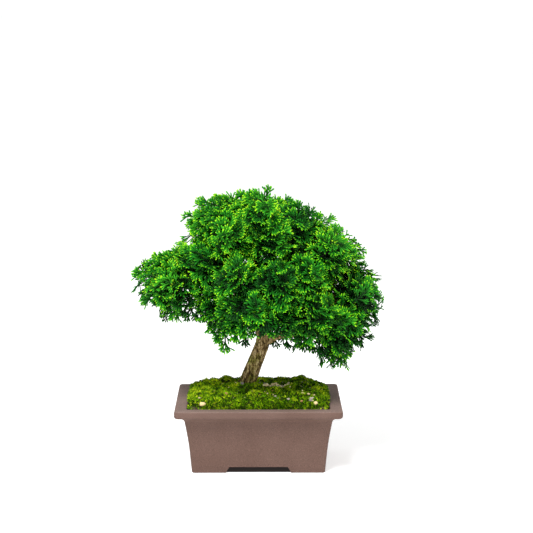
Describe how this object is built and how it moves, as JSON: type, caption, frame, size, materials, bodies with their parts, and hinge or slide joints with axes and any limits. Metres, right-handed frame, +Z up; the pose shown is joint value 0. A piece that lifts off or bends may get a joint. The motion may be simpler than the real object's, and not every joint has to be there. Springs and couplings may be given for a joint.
{
  "type": "bonsai tree",
  "caption": "Leaning dwarf cypress bonsai with a domed crown of fan-shaped sprays, rooted in moss-topped soil in a footed rectangular clay pot.",
  "frame": {"origin": "on the ground under the middle of the pot, which is also the middle of the whole tree", "axes": "+Z up, +X to the viewer's right along the pot's long side, -Y towards the viewer, who sees the tree's front"},
  "size_m": [0.31, 0.2173, 0.3465],
  "materials": {
    "clay": "unglazed, matt, fine speckle",
    "plastic": "black moulded net",
    "earth": "damp granular soil",
    "moss": "soft bright green moss with grit",
    "bark": "rough fibrous bark",
    "leaf": "waxy scale leaves with yellow-green tips"
  },
  "bodies": {
    "root": {"pot": "clay", "drain_screen_left": "plastic", "drain_screen_right": "plastic", "soil": "earth", "moss": "moss", "trunk_and_branches": "bark", "spray_01": "leaf", "spray_02": "leaf", "spray_03": "leaf", "spray_04": "leaf", "spray_05": "leaf", "spray_06": "leaf", "spray_07": "leaf", "spray_08": "leaf", "spray_09": "leaf", "spray_10": "leaf", "spray_11": "leaf", "spray_12": "leaf", "spray_13": "leaf", "spray_14": "leaf", "spray_15": "leaf", "spray_16": "leaf", "spray_17": "leaf", "spray_18": "leaf", "spray_19": "leaf", "spray_20": "leaf", "spray_21": "leaf", "spray_22": "leaf", "spray_23": "leaf", "spray_24": "leaf", "spray_25": "leaf", "spray_26": "leaf", "spray_27": "leaf", "spray_28": "leaf", "spray_29": "leaf", "spray_30": "leaf", "spray_31": "leaf", "spray_32": "leaf", "spray_33": "leaf", "spray_34": "leaf", "spray_35": "leaf"}
  },
  "joints": []
}
